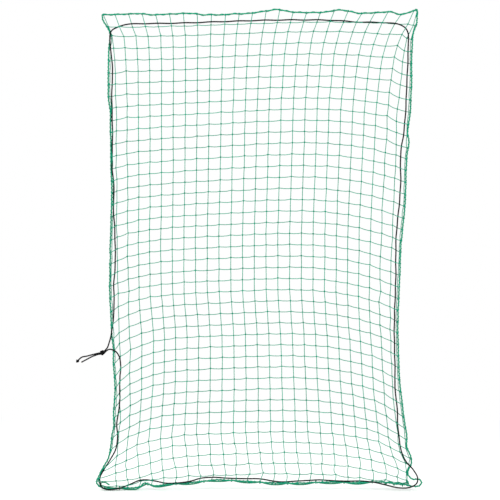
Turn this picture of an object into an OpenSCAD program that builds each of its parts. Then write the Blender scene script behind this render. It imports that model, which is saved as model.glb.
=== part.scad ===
// Knotted cargo net with square meshes, a border rope and a black elastic draw cord.
// The net hangs in the XZ plane from its top border rope: +X to the right, +Z up, -Y towards the viewer.
// Origin: middle of the hang line, at the height of the top border rope. Millimetres.
// The net is flexible; here it is three panels that turn about three horizontal lines:
// just under the top rope, and at two fold lines further down. Every strand that crosses
// one of those lines is parted there, with room for the turn.

/* [Net] */
// Number of meshes across the net
mesh_cols = 26; // [22:2:30]
// Number of meshes down the net
mesh_rows = 43; // [36:1:50]
// Diameter of the net twine
twine_d = 3; // [2:0.5:3.5]
// Diameter of the border rope
rope_d = 6; // [5:0.5:6.5]
// How far the rows arch down towards the side edges, as a share of the full drape
drape = 1; // [0.6:0.1:1.1]
// Height of the gentle ripple out of the net's plane
ripple = 10; // [0:1:12]

/* [Elastic cord] */
// Outer diameter of the elastic cord
elastic_d = 6; // [5:0.5:6.5]
// Diameter of the rubber core inside its braided sheath
core_d = 4.2; // [3.6:0.1:4.4]
// Distance of the elastic in front of the net's middle plane
elastic_y = 6.4; // [6.4:0.1:8]

// Length of one slack bight of rope along the bottom
bight = 118; // [108:1:128]
// How far each bight hangs
bight_depth = 7; // [4:0.5:8]

/* [Folds] */
// Height of the line that the net swings about, under the top rope
hinge_top = -14; // [-16:1:-13]
// Height of the upper fold line
hinge_upper = -626; // [-660:2:-600]
// Height of the lower fold line
hinge_lower = -1236; // [-1260:2:-1200]

/* [Hidden] */

green = "#1c7a55";
dark_green = "#176347";
black = "#101214";
cream = "#c9c0a8";

// Room at each parting, on each side of the hinge line, for a turn of 100 degrees
gap_twine = 2.7;
gap_weft = 4.2;
gap_rope = 4.8;
gap_elastic = 13.4;
core_gap = 0.1;

// ---- the drape: where a point of the net lies -------------------------------------
// t is the row station, 0 at the top border and 43 at the bottom border
x0 = -84;   // where the rows are level
xs = 588;   // distance from there at which a row has dropped by its arch
tilt_tab = [[0,0.03],[2,0.035],[6,0.048],[10,0.057],[14,0.057],[18,0.052],[22,0.046],[30,0.041],[34,0.038],[38,0.033],[46,0.033]];
arch_left_tab = [[0,-6],[2,-13],[6,-5],[10,6],[14,30],[18,50],[22,68],[26,84],[28,108],[30,140],[32,156],[34,152],[38,146],[39,126],[40,114],[42,78],[46,70]];
arch_right_tab = [[0,8],[2,21],[6,36],[10,52],[14,60],[18,69],[22,72],[26,78],[30,77],[34,75],[36,72],[38,58],[40,56],[46,50]];
edge_right_tab = [[27,0],[30,8],[32,14],[34,20],[36,20],[37,24],[38,22],[39,11],[40,6],[41,0]];
pitch_tab = [[0,52.4],[4,51.6],[9,50.4],[14,50],[20,49.5],[28,49.2],[33,50],[38,52],[43,51.6],[46,51.6]];
mid_tab = [[0,4],[4,-4],[9,-12],[14,-17],[20,-24],[25,-24],[29,-12],[34,-8],[38,-8],[43,2],[46,4]];
squeeze_left_tab = [[0,0.01],[4,0.02],[14,0.025],[20,0.03],[28,0.045],[33,0.05],[36,0.055],[38,0.05],[39,0.03],[40,0.02],[46,0.01]];
squeeze_right_tab = [[0,0.01],[4,0.02],[14,0.025],[20,0.03],[28,0.045],[34,0.055],[36,0.045],[38,0.045],[39,0.015],[40,-0.01],[42,-0.01],[46,0]];
// how far each column is drawn sideways at the top border, and how that fades row by row
splay_tab = [[0,-38],[2,-41],[4,-30],[8,-6],[10,9],[16,35],[20,58],[24,70],[25,34],[26,20]];
fade_left_tab = [[0,1],[1,0.55],[2,0.18],[3,0.08],[5,0]];
fade_right_tab = [[0,1],[1,0.7],[2,0.45],[3,0.27],[4,0.15],[5,0.09],[6,0.05],[8,0]];

function zmid(t) = t < 2 ? -84 + 39*(2 - t) : -(84 + 47.1*(t - 2) - 0.07*pow(max(0, t - 22), 2));
function zrow(x, t) = let(u = (x - x0)/xs) zmid(t) + lookup(t, tilt_tab)*(x - x0)
  - drape*(u < 0 ? lookup(t, arch_left_tab)*pow(-u, 5)
    : lookup(t, arch_right_tab)*pow(u, 3) + lookup(t, edge_right_tab)*max(0, x - 500)/100);
function xcol(i, t) = let(c = (i - mesh_cols/2)*26/mesh_cols)
  lookup(t, mid_tab) + lookup(t, pitch_tab)*c*(1 - lookup(t, c < 0 ? squeeze_left_tab : squeeze_right_tab)*pow(abs(c/12), 3))
  + lookup(c + 13, splay_tab)*lookup(t, c < -3.5 ? fade_left_tab : fade_right_tab);
function ybil(z) = ripple*sin(-z*360/610);
function station(j) = j*43/mesh_rows;

// ---- routes of the rope and the elastic: [x, z] points -----------------------------
top_route = [[-662,-8],[-600,-6],[-530,-2],[-420,-7],[-325,-2],[-190,-7],[-20,2],[65,14],[140,4],[252,2],[336,12],[424,-1],[550,4],[594,-7],[640,7],[656,12]];
left_route = [[-662,-8],[-659,-32],[-632,-80],[-636,-155],[-636,-336],[-627,-440],[-626,-650],[-624,-745],[-627,-960],[-630,-1205],[-626,-1264],[-624,-1344],[-617,-1411],[-616,-1483],[-610,-1554],[-608,-1609],[-614,-1693],[-616,-1751],[-622,-1785],[-630,-1844],[-638,-1873],[-659,-1907],[-683,-1956],[-687,-1975],[-674,-1991],[-645,-1998],[-610,-1998]];
right_route = [[659,13],[660,-14],[659,-42],[645,-86],[638,-185],[638,-244],[634,-332],[630,-407],[620,-496],[624,-546],[617,-596],[614,-668],[612,-780],[594,-950],[584,-1120],[580,-1330],[586,-1541],[593,-1621],[601,-1684],[609,-1735],[615,-1772],[616,-1823],[634,-1863],[636,-1894],[625,-1919],[622,-1936],[641,-1959],[671,-1961],[680,-1974],[670,-1988],[640,-1989],[612,-1983],[584,-1981]];
bottom_route = [[-610,-1998],[-569,-1998],[-502,-1991],[-488,-1978],[-446,-1987],[-395,-1982],[-336,-1978],[-245,-1970],[-195,-1963],[-81,-1967],[74,-1977],[143,-1977],[277,-1972],[399,-1974],[519,-1972],[584,-1981]];
// elastic: up the left side from the upper fold, along the top and down the right side
el_left_up = [[-626,-620],[-619,-545],[-619,-470],[-622,-328],[-620,-235],[-626,-175],[-630,-92],[-622,-72],[-590,-54],[-546,-46],[-420,-43],[-319,-41],[-145,-35],[69,-29],[301,-30],[406,-37],[526,-40],[578,-46],[611,-60],[622,-82],[624,-126],[621,-227],[616,-307],[611,-407],[601,-517],[594,-559],[590,-609],[592,-640]];
el_left_mid = [[-612,-640],[-618,-700],[-614,-743],[-614,-795],[-613,-850],[-613,-900],[-613,-953],[-614,-1010],[-616,-1065],[-617,-1121],[-612,-1205],[-614,-1250]];
el_right_mid = [[590,-620],[592,-700],[590,-740],[588,-781],[584,-835],[578,-892],[571,-950],[570,-1005],[570,-1062],[569,-1120],[568,-1185],[566,-1250]];
// elastic of the lowest panel: down the left side to where it leaves the net
el_left_low = [[-612,-1230],[-616,-1290],[-621,-1340],[-628,-1370],[-637,-1396],[-646,-1414]];
// elastic of the lowest panel: down the right side, along the bottom, up the left side, and out
el_low = [[566,-1230],[565,-1331],[567,-1460],[567,-1541],[566,-1575],[574,-1646],[578,-1735],[585,-1793],[596,-1848],[615,-1886],[641,-1915],[660,-1945],[663,-1962],[657,-1978],[630,-1993],[584,-1995],[525,-1982],[474,-1971],[399,-1968],[294,-1966],[233,-1963],[164,-1967],[97,-1972],[50,-1966],[-17,-1958],[-145,-1956],[-195,-1951],[-245,-1956],[-290,-1967],[-336,-1974],[-395,-1977],[-446,-1968],[-502,-1963],[-551,-1984],[-596,-1998],[-645,-2001],[-666,-1991],[-675,-1959],[-659,-1924],[-631,-1879],[-605,-1830],[-598,-1785],[-600,-1720],[-589,-1646],[-588,-1592],[-589,-1554],[-586,-1495],[-588,-1449],[-604,-1427],[-622,-1422],[-646,-1421]];

knot_at = [-662, -1424];
knotted_tail_route = [[-679,-1428],[-692,-1431],[-718,-1437],[-743,-1444],[-758,-1451],[-765,-1459]];
bare_tail_route = [[-679,-1435],[-692,-1439],[-708,-1446],[-729,-1457],[-751,-1468]];

// ---- helpers --------------------------------------------------------------------------
// x of a route whose points run down in z
function xat(r, z, k = 0) = k >= len(r) - 2 || z >= r[k + 1][1]
  ? r[k][0] + (r[k + 1][0] - r[k][0])*max(0, min(1, (z - r[k][1])/(r[k + 1][1] - r[k][1])))
  : xat(r, z, k + 1);
function prefix(r, n) = [for (k = [0:n - 1]) r[k]];
left_side = prefix(left_route, 24);
right_side = prefix(right_route, 27);
function ztop(x) = lookup(x, top_route);
function zbot(x) = lookup(x, bottom_route);

// station at which column i reaches height h
function t_at(i, h, a = 0, b = 46, n = 22) = n == 0 ? (a + b)/2
  : let(m = (a + b)/2) zrow(xcol(i, m), m) > h ? t_at(i, h, m, b, n - 1) : t_at(i, h, a, m, n - 1);
// station at which column i meets the bottom border
function t_end(i, a = 30, b = 46, n = 22) = n == 0 ? (a + b)/2
  : let(m = (a + b)/2, x = xcol(i, m)) zrow(x, m) > zbot(x) ? t_end(i, m, b, n - 1) : t_end(i, a, m, n - 1);
// a row's own height, kept above the bottom border
function zw(x, t) = max(zrow(x, t), zbot(x) + 9);
// where a row meets a side border
function x_edge(r, t, x, n = 9) = n == 0 ? x : x_edge(r, t, xat(r, zw(x, t)), n - 1);
// x between a (higher) and b (lower) at which row t reaches height h
function x_cut(t, h, a, b, n = 20) = n == 0 ? (a + b)/2
  : let(m = (a + b)/2) zw(m, t) > h ? x_cut(t, h, m, b, n - 1) : x_cut(t, h, a, m, n - 1);

// the stretches [from, to] of row t that lie between heights hi and lo
function row_runs(t, hi, lo) = let(
    xl = x_edge(left_side, t, -600), xr = x_edge(right_side, t, 600),
    zm = zw(x0, t), zl = zw(xl, t), zr = zw(xr, t))
  zm < lo ? []
  : let(l1 = zl >= lo ? xl : x_cut(t, lo, x0, xl), r1 = zr >= lo ? xr : x_cut(t, lo, x0, xr))
  zm < hi ? [[l1, r1]]
  : concat(zl < hi - 2 ? [[l1, x_cut(t, hi, x0, xl)]] : [], zr < hi - 2 ? [[x_cut(t, hi, x0, xr), r1]] : []);

row_marks = [-630,-600,-565,-525,-475,-410,-310,-180,0,160,300,400,480,545,600];

function unit(v) = v/norm(v);
// tube of n sides swept along the points of a route, closed at both ends, with an optional round bore
module tube(pts, r, n, bore = 0) {
  m = len(pts);
  dir = [for (k = [0:m - 1]) unit(pts[min(k + 1, m - 1)] - pts[max(k - 1, 0)])];
  // each ring is mitred: it lies in the plane that halves the bend
  ring = function (k, rr) let(
      a = k == 0 ? dir[0] : unit(pts[k] - pts[k - 1]),
      s = unit(cross(a, abs(a[1]) > 0.9 ? [1, 0, 0] : [0, 1, 0])),
      u = cross(s, a), nn = dir[k])
    [for (q = [0:n - 1]) let(o = rr*(s*cos(q*360/n + 180/n) + u*sin(q*360/n + 180/n)))
      pts[k] + o - a*((o*nn)/(a*nn))];
  outer = [for (k = [0:m - 1]) each ring(k, r)];
  skin = [for (k = [0:m - 2]) for (q = [0:n - 1]) let(w = (q + 1)%n)
    each [[k*n + q, k*n + w, (k + 1)*n + w], [k*n + q, (k + 1)*n + w, (k + 1)*n + q]]];
  if (bore == 0)
    polyhedron(outer, concat(skin,
      [[for (q = [n - 1:-1:0]) q]], [[for (q = [0:n - 1]) (m - 1)*n + q]]));
  else {
    o = m*n;
    inner = [for (k = [0:m - 1]) each ring(k, bore)];
    wall = [for (k = [0:m - 2]) for (q = [0:n - 1]) let(w = (q + 1)%n)
      each [[o + k*n + q, o + (k + 1)*n + w, o + k*n + w], [o + k*n + q, o + (k + 1)*n + q, o + (k + 1)*n + w]]];
    ends = [for (q = [0:n - 1]) let(w = (q + 1)%n, e = (m - 1)*n)
      each [[q, o + q, o + w], [q, o + w, w], [e + q, e + w, o + e + w], [e + q, o + e + w, o + e + q]]];
    polyhedron(concat(outer, inner), concat(skin, wall, ends));
  }
}

// part of a route between heights hi and lo, for a route that runs one way
function crossing(a, b, h) = a + (b - a)*((h - a[1])/(b[1] - a[1]));
function inside(p, hi, lo) = p[1] <= hi && p[1] >= lo;
function clip(r, hi, lo) = [for (k = [0:len(r) - 1])
  let(p = r[k], q = r[max(0, k - 1)])
  each concat(
    k > 0 && (q[1] > hi) != (p[1] > hi) ? [crossing(q, p, hi)] : [],
    k > 0 && (q[1] < lo) != (p[1] < lo) ? [crossing(q, p, lo)] : [],
    inside(p, hi, lo) ? [p] : [])];
function lift(r, y = 0) = [for (p = r) [p[0], ybil(p[1]) + y, p[1]]];

// ---- net twine ----------------------------------------------------------------------------
// x of column i, kept clear of the side borders
function xwarp(i, t) = let(x = xcol(i, t), z = zrow(x, t), r = (twine_d + rope_d)/2 + 6)
  max(xat(left_side, z) + r, min(xat(right_side, z) - r, x));
module warps(hi, lo) {
  for (i = [1:mesh_cols - 1]) {
    a = t_at(i, hi);
    b = lo == undef ? t_end(i) : t_at(i, lo);
    k = max(4, ceil((b - a)/(i == 1 || i == mesh_cols - 1 ? 1.1 : 3.4)));
    tube([for (s = [0:k]) let(t = a + (b - a)*s/k, x = xwarp(i, t), z = zrow(xcol(i, t), t)) [x, ybil(z), z]], twine_d/2, 6);
  }
}

// Each twine across the net is four lengths, which meet end to end in the knots on three of the columns.
joins = [for (k = [1:3]) round(mesh_cols*k/4)];
module wefts(hi, lo) {
  for (j = [1:mesh_rows - 1]) {
    t = station(j);
    for (run = row_runs(t, hi, lo)) if (run[1] - run[0] > 12) {
      ends = concat([run[0]], [for (i = joins) let(x = xcol(i, t)) if (x > run[0] + 40 && x < run[1] - 40) x], [run[1]]);
      for (k = [0:len(ends) - 2]) {
        a = ends[k] + (k == 0 ? 0 : 0.3);
        b = ends[k + 1] - (k == len(ends) - 2 ? 0 : 0.3);
        xx = concat([a], [for (x = row_marks) if (x > a + 14 && x < b - 14) x], [b]);
        tube([for (x = xx) let(z = zw(x, t)) [x, ybil(z), z]], twine_d/2, 6);
      }
    }
  }
}

module rope(r) tube(lift(r), rope_d/2, 8);
module sheath(r) tube(lift(r, -elastic_y), elastic_d/2, 8, core_d/2 + core_gap);
module core(r) tube(lift(r, -elastic_y), core_d/2, 8);

// ---- pieces ---------------------------------------------------------------------------------
module top_border_rope() {
  color(dark_green) rope(concat(top_route, [[662,3], [661, hinge_top + gap_rope]]));
}
module top_twine_hitches() {
  color(green) for (i = [1:mesh_cols - 1]) let(x = xcol(i, 0.5))
    tube([[x, ybil(ztop(x)), ztop(x)], [x, ybil(hinge_top), hinge_top + gap_twine]], twine_d/2, 6);
}

module upper_warp_twines() { color(green) warps(hinge_top - gap_twine, hinge_upper + gap_twine); }
module upper_weft_twines() { color(green) wefts(hinge_top - gap_weft, hinge_upper + gap_weft); }
module upper_left_border() { color(dark_green) rope(clip(left_route, hinge_top - gap_rope, hinge_upper + gap_rope)); }
module upper_right_border() { color(dark_green) rope(clip(right_route, hinge_top - gap_rope, hinge_upper + gap_rope)); }
module upper_elastic_sheath() { color(black) sheath(clip(el_left_up, 0, hinge_upper + gap_elastic)); }
module upper_elastic_core() { color(cream) core(clip(el_left_up, 0, hinge_upper + gap_elastic)); }

module middle_warp_twines() { color(green) warps(hinge_upper - gap_twine, hinge_lower + gap_twine); }
module middle_weft_twines() { color(green) wefts(hinge_upper - gap_weft, hinge_lower + gap_weft); }
module middle_left_border() { color(dark_green) rope(clip(left_route, hinge_upper - gap_rope, hinge_lower + gap_rope)); }
module middle_right_border() { color(dark_green) rope(clip(right_route, hinge_upper - gap_rope, hinge_lower + gap_rope)); }
module middle_left_elastic_sheath() { color(black) sheath(clip(el_left_mid, hinge_upper - gap_elastic, hinge_lower + gap_elastic)); }
module middle_left_elastic_core() { color(cream) core(clip(el_left_mid, hinge_upper - gap_elastic, hinge_lower + gap_elastic)); }
module middle_right_elastic_sheath() { color(black) sheath(clip(el_right_mid, hinge_upper - gap_elastic, hinge_lower + gap_elastic)); }
module middle_right_elastic_core() { color(cream) core(clip(el_right_mid, hinge_upper - gap_elastic, hinge_lower + gap_elastic)); }

module lower_warp_twines() { color(green) warps(hinge_lower - gap_twine, undef); }
module lower_weft_twines() { color(green) wefts(hinge_lower - gap_weft, -4000); }
module lower_left_border() { color(dark_green) rope(clip(left_route, hinge_lower - gap_rope, -4000)); }
module lower_right_border() { color(dark_green) rope(clip(right_route, hinge_lower - gap_rope, -4000)); }
module bottom_border() { color(dark_green) rope(bottom_route); }
// the slack of the border rope, which hangs in shallow bights behind the bottom border
module bottom_slack_rope() {
  color(dark_green) tube([for (x = [-590:bight/5:566]) let(z = zbot(x) - 1 - bight_depth*abs(sin(180*(x + 590)/bight)))
    [x, ybil(zbot(x)) + rope_d + 0.7, z]], rope_d/2, 8);
}
module lower_left_elastic_sheath() { color(black) sheath(clip(el_left_low, hinge_lower - gap_elastic, -4000)); }
module lower_left_elastic_core() { color(cream) core(clip(el_left_low, hinge_lower - gap_elastic, -4000)); }
module lower_elastic_sheath() { color(black) sheath(clip(el_low, hinge_lower - gap_elastic, -4000)); }
module lower_elastic_core() { color(cream) core(clip(el_low, hinge_lower - gap_elastic, -4000)); }

// overhand knot that joins the two ends of the elastic: a trefoil of the cord, drawn tight
module elastic_knot() {
  n = 30; s = 3.1; q = 8; rr = elastic_d/2 - 0.2;
  p = [for (k = [0:n - 1]) let(a = k*360/n)
    [knot_at[0] + s*(sin(a) + 2*sin(2*a)), ybil(knot_at[1]) - elastic_y - 3.2*sin(3*a), knot_at[1] + s*(cos(a) - 2*cos(2*a))]];
  pts = [for (k = [0:n - 1]) let(
      d = unit(p[(k + 1)%n] - p[(k + n - 1)%n]),
      e = unit(cross(d, p[k] - [knot_at[0], ybil(knot_at[1]) - elastic_y - 40, knot_at[1]])),
      f = cross(e, d))
    each [for (g = [0:q - 1]) p[k] + rr*(e*cos(g*360/q) + f*sin(g*360/q))]];
  faces = [for (k = [0:n - 1]) for (g = [0:q - 1]) let(w = (g + 1)%q, k1 = (k + 1)%n)
    each [[k*q + g, k1*q + g, k1*q + w], [k*q + g, k1*q + w, k*q + w]]];
  color(black) polyhedron(pts, faces);
}
module knotted_tail_sheath() { color(black) sheath(knotted_tail_route); }
module knotted_tail_core() { color(cream) core(knotted_tail_route); }
module tail_stopper_knot() {
  e = knotted_tail_route[len(knotted_tail_route) - 1];
  color(black) translate([e[0] - 4, ybil(e[1]) - elastic_y, e[1] - 5]) sphere(r = 6.2, $fn = 32);
}
module bare_tail_sheath() { color(black) sheath(bare_tail_route); }
module bare_tail_core() { color(cream) core(bare_tail_route); }

top_border_rope();
top_twine_hitches();
upper_warp_twines();
upper_weft_twines();
upper_left_border();
upper_right_border();
upper_elastic_sheath();
upper_elastic_core();
middle_warp_twines();
middle_weft_twines();
middle_left_border();
middle_right_border();
middle_left_elastic_sheath();
middle_left_elastic_core();
middle_right_elastic_sheath();
middle_right_elastic_core();
lower_warp_twines();
lower_weft_twines();
lower_left_border();
lower_right_border();
bottom_border();
bottom_slack_rope();
lower_left_elastic_sheath();
lower_left_elastic_core();
lower_elastic_sheath();
lower_elastic_core();
elastic_knot();
knotted_tail_sheath();
knotted_tail_core();
tail_stopper_knot();
bare_tail_sheath();
bare_tail_core();
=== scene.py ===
# Cargo net: the looks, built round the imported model.
import bpy
import math
import numpy as np
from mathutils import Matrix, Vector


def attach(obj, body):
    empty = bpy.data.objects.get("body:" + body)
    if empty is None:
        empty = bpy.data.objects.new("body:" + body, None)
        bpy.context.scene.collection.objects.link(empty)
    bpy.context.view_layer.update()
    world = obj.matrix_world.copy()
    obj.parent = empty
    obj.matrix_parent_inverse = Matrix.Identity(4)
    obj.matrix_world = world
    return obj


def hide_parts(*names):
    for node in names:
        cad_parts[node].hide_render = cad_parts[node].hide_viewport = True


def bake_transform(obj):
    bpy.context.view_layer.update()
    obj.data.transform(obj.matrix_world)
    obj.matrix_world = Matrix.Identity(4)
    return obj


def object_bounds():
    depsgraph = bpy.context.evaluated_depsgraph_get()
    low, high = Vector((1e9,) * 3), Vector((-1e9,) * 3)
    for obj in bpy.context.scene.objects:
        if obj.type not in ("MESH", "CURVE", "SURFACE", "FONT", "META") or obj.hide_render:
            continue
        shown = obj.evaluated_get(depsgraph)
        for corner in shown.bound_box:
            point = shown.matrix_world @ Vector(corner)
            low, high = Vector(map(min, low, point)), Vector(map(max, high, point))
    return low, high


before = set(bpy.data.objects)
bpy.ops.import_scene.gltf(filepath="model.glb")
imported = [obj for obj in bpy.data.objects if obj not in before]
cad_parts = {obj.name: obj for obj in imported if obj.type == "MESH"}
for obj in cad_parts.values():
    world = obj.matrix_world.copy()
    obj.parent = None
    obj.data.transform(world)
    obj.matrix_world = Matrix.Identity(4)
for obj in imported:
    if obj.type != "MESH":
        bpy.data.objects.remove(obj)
CAD_LO, CAD_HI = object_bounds()
MM = 0.001
rng = np.random.default_rng(11)

# ------------------------------------------------------------------ sizes, in millimetres
TWINE_R = 1.62
ROPE_R = 3.0
CORD_R = 3.0
CUT_AB, CUT_BC = -320.0, -930.0      # where one piece ends and the next begins, far from any hinge
COLS, ROWS = 26, 43

# ------------------------------------------------------------------ the drape, as in the CAD model
X0, XS = -84.0, 588.0
TILT = [(0, .03), (2, .035), (6, .048), (10, .057), (14, .057), (18, .052), (22, .046), (30, .041), (34, .038), (38, .033), (46, .033)]
ARCH_L = [(0, -6), (2, -13), (6, -5), (10, 6), (14, 30), (18, 50), (22, 68), (26, 84), (28, 108), (30, 140), (32, 156), (34, 152), (38, 146), (39, 126), (40, 114), (42, 78), (46, 70)]
ARCH_R = [(0, 8), (2, 21), (6, 36), (10, 52), (14, 60), (18, 69), (22, 72), (26, 78), (30, 77), (34, 75), (36, 72), (38, 58), (40, 56), (46, 50)]
EDGE_R = [(27, 0), (30, 8), (32, 14), (34, 20), (36, 20), (37, 24), (38, 22), (39, 11), (40, 6), (41, 0)]
PITCH = [(0, 52.4), (4, 51.6), (9, 50.4), (14, 50), (20, 49.5), (28, 49.2), (33, 50), (38, 52), (43, 51.6), (46, 51.6)]
MID = [(0, 4), (4, -4), (9, -12), (14, -17), (20, -24), (25, -24), (29, -12), (34, -8), (38, -8), (43, 2), (46, 4)]
SQUEEZE_L = [(0, .01), (4, .02), (14, .025), (20, .03), (28, .045), (33, .05), (36, .055), (38, .05), (39, .03), (40, .02), (46, .01)]
SQUEEZE_R = [(0, .01), (4, .02), (14, .025), (20, .03), (28, .045), (34, .055), (36, .045), (38, .045), (39, .015), (40, -.01), (42, -.01), (46, 0)]
SPLAY = [(0, -38), (2, -41), (4, -30), (8, -6), (10, 9), (16, 35), (20, 58), (24, 70), (25, 34), (26, 20)]
FADE_L = [(0, 1), (1, .55), (2, .18), (3, .08), (5, 0)]
FADE_R = [(0, 1), (1, .7), (2, .45), (3, .27), (4, .15), (5, .09), (6, .05), (8, 0)]
TOP = [(-662, -8), (-600, -6), (-530, -2), (-420, -7), (-325, -2), (-190, -7), (-20, 2), (65, 14), (140, 4), (252, 2), (336, 12), (424, -1), (550, 4), (594, -7), (640, 7), (656, 12)]
LEFT = [(-662, -8), (-659, -32), (-632, -80), (-636, -155), (-636, -336), (-627, -440), (-626, -650), (-624, -745), (-627, -960), (-630, -1205), (-626, -1264), (-624, -1344), (-617, -1411), (-616, -1483), (-610, -1554), (-608, -1609), (-614, -1693), (-616, -1751), (-622, -1785), (-630, -1844), (-638, -1873), (-659, -1907), (-683, -1956), (-687, -1975), (-674, -1991), (-645, -1998), (-610, -1998)]
RIGHT = [(656, 12), (662, 3), (661, -14), (659, -42), (645, -86), (638, -185), (638, -244), (634, -332), (630, -407), (620, -496), (624, -546), (617, -596), (614, -668), (612, -780), (594, -950), (584, -1120), (580, -1330), (586, -1541), (593, -1621), (601, -1684), (609, -1735), (615, -1772), (616, -1823), (634, -1863), (636, -1894), (625, -1919), (622, -1936), (641, -1959), (671, -1961), (680, -1974), (670, -1988), (640, -1989), (612, -1983), (584, -1981)]
BOTTOM = [(-610, -1998), (-569, -1998), (-502, -1991), (-488, -1978), (-446, -1987), (-395, -1982), (-336, -1978), (-245, -1970), (-195, -1963), (-81, -1967), (74, -1977), (143, -1977), (277, -1972), (399, -1974), (519, -1972), (584, -1981)]
ELASTIC_A = [(-656, -1423), (-649, -1415), (-641, -1405), (-634, -1385), (-627, -1360), (-621, -1318), (-614, -1256), (-613, -1200), (-613, -1134), (-607, -1058), (-608, -966), (-612, -882), (-617, -814), (-614, -743), (-618, -690), (-622, -640), (-619, -545), (-619, -470), (-622, -328), (-620, -235), (-626, -175), (-630, -92), (-622, -72), (-590, -54), (-546, -46), (-420, -43), (-319, -41), (-145, -35), (69, -29), (301, -30), (406, -37), (526, -40), (578, -46), (611, -60), (622, -82), (624, -126), (621, -227), (616, -307), (611, -407), (601, -517), (594, -559), (590, -609), (592, -700), (588, -781), (571, -950), (569, -1120), (566, -1250), (565, -1331), (567, -1460), (567, -1541), (566, -1575), (574, -1646), (578, -1735), (585, -1793), (596, -1848), (615, -1886), (641, -1915), (660, -1945), (663, -1962), (657, -1978), (630, -1993), (584, -1995), (525, -1982), (474, -1971), (399, -1968), (294, -1966), (233, -1963), (164, -1967), (97, -1972), (50, -1966), (-17, -1958), (-145, -1956), (-195, -1951), (-245, -1956), (-290, -1967), (-336, -1974), (-395, -1977), (-446, -1968), (-502, -1963), (-551, -1984), (-596, -1998), (-645, -2001), (-666, -1991), (-675, -1959), (-659, -1924), (-631, -1879), (-605, -1830), (-598, -1785), (-600, -1720), (-589, -1646), (-588, -1592), (-589, -1554), (-586, -1495), (-587, -1462), (-593, -1440), (-605, -1423), (-619, -1415), (-634, -1413), (-645, -1419), (-654, -1428)]
KNOT_AT = (-662.0, -1424.0)
TAIL_A = [(-679, -1429), (-692, -1432), (-715, -1438), (-731, -1442), (-747, -1445), (-757, -1452), (-764, -1459)]
TAIL_B = [(-679, -1434), (-692, -1438), (-707, -1444), (-728, -1455), (-750, -1467)]
EL_Y = -6.4


def look(tab, t):
    return np.interp(t, [p[0] for p in tab], [p[1] for p in tab])


def zmid(t):
    t = np.asarray(t, float)
    main = -(84 + 47.1 * (t - 2) - 0.07 * np.maximum(0, t - 22) ** 2)
    return np.where(t < 2, -84 + 39 * (2 - t), main)


def zrow(x, t):
    u = (np.asarray(x, float) - X0) / XS
    drop = np.where(u < 0, look(ARCH_L, t) * np.abs(u) ** 5, look(ARCH_R, t) * np.abs(u) ** 3 + look(EDGE_R, t) * np.maximum(0, np.asarray(x, float) - 500) / 100)
    return zmid(t) + look(TILT, t) * (x - X0) - drop


def xcol(i, t):
    c = i - COLS / 2
    sq = look(SQUEEZE_L if c < 0 else SQUEEZE_R, t)
    return (look(MID, t) + look(PITCH, t) * c * (1 - sq * np.abs(c / 12) ** 3)
            + look(SPLAY, i) * look(FADE_L if c < -3.5 else FADE_R, t))


def ybil(z):
    return 10 * np.sin(-np.asarray(z, float) * 2 * math.pi / 610)


# ------------------------------------------------------------------ paths
def smooth(points, step):
    """A Catmull-Rom curve (centripetal) through the points, with points about step apart."""
    p = np.array(points, float)
    p = np.vstack([2 * p[0] - p[1], p, 2 * p[-1] - p[-2]])
    out = []
    for k in range(1, len(p) - 2):
        a, b, c, d = p[k - 1], p[k], p[k + 1], p[k + 2]
        t0, t1 = 0.0, np.linalg.norm(b - a) ** .5 + 1e-9
        t2 = t1 + np.linalg.norm(c - b) ** .5 + 1e-9
        t3 = t2 + np.linalg.norm(d - c) ** .5 + 1e-9
        n = max(2, int(round(np.linalg.norm(c - b) / step * 2)))
        t = np.linspace(t1, t2, n, endpoint=False)[:, None]
        a1 = (t1 - t) / (t1 - t0) * a + (t - t0) / (t1 - t0) * b
        a2 = (t2 - t) / (t2 - t1) * b + (t - t1) / (t2 - t1) * c
        a3 = (t3 - t) / (t3 - t2) * c + (t - t2) / (t3 - t2) * d
        b1 = (t2 - t) / (t2 - t0) * a1 + (t - t0) / (t2 - t0) * a2
        b2 = (t3 - t) / (t3 - t1) * a2 + (t - t1) / (t3 - t1) * a3
        out.append((t2 - t) / (t2 - t1) * b1 + (t - t1) / (t2 - t1) * b2)
    out.append(p[-2][None])
    return resample(np.concatenate(out), step)


def resample(p, step):
    d = np.concatenate([[0], np.cumsum(np.linalg.norm(np.diff(p, axis=0), axis=1))])
    n = max(2, int(round(d[-1] / step)) + 1)
    at = np.linspace(0, d[-1], n)
    return np.stack([np.interp(at, d, p[:, k]) for k in range(p.shape[1])], 1)


def tangents(p):
    t = np.zeros_like(p)
    t[1:-1] = p[2:] - p[:-2]
    t[0], t[-1] = p[1] - p[0], p[-1] - p[-2]
    return t / np.maximum(np.linalg.norm(t, axis=1, keepdims=True), 1e-12)


def frames(p):
    """A normal and binormal at each point that turn as little as they can."""
    t = tangents(p)
    n = np.zeros_like(p)
    v = np.array([0, 1.0, 0]) if abs(t[0][1]) < .9 else np.array([1.0, 0, 0])
    v = v - t[0] * (v @ t[0])
    n[0] = v / np.linalg.norm(v)
    for k in range(1, len(p)):
        v = n[k - 1] - t[k] * (n[k - 1] @ t[k])
        n[k] = v / max(np.linalg.norm(v), 1e-12)
    return n, np.cross(t, n)


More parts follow.
